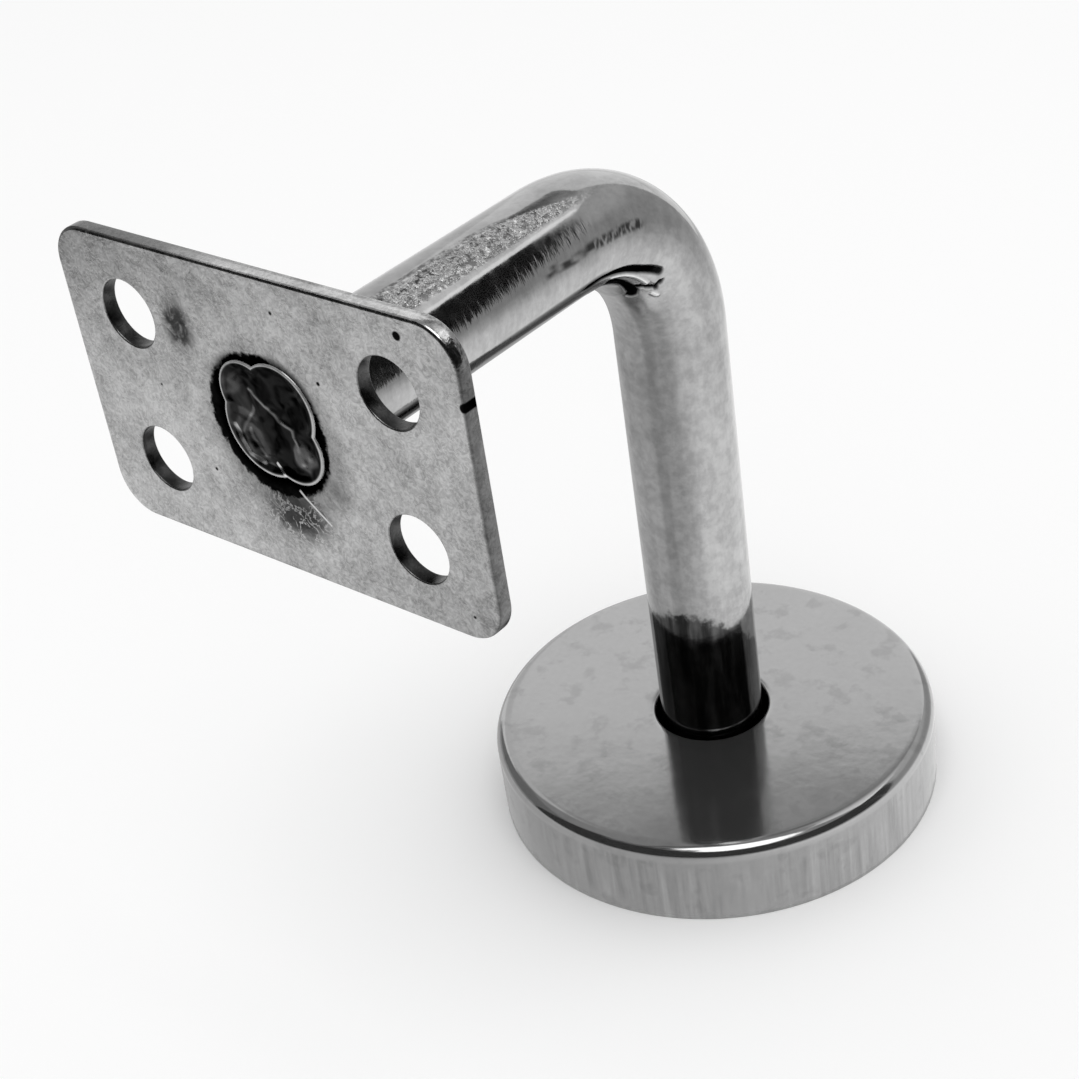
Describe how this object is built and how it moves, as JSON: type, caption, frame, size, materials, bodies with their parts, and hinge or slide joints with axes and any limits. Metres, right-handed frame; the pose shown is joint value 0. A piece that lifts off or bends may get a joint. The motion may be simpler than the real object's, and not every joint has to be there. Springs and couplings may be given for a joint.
{
  "type": "handrail bracket",
  "caption": "Handrail bracket: a bent round bar with a flat rail saddle at one end, a hidden wall flange at the other and a sliding round cover.",
  "frame": {"origin": "centre of the flange's wall face", "axes": "+Z away from the wall along the upright run of the arm; -Y from there to the rail saddle; +X along the rail"},
  "size_m": [0.052, 0.081, 0.093],
  "materials": {
    "bar_steel": "polished",
    "plate_steel": "tumbled satin",
    "weld_steel": "scaled weld",
    "flange_steel": "mill",
    "cover_steel": "satin, drawn"
  },
  "bodies": {
    "bracket": {"arm": "bar_steel", "saddle_plate": "plate_steel", "saddle_weld": "weld_steel", "wall_flange": "flange_steel", "flange_weld": "weld_steel"},
    "cover": {"cover": "cover_steel"}
  },
  "joints": [
    {"name": "cover_slide", "type": "slide", "parent": "bracket", "child": "cover", "axis": [0, 0, 1], "range_m": [0, 0.05]}
  ]
}
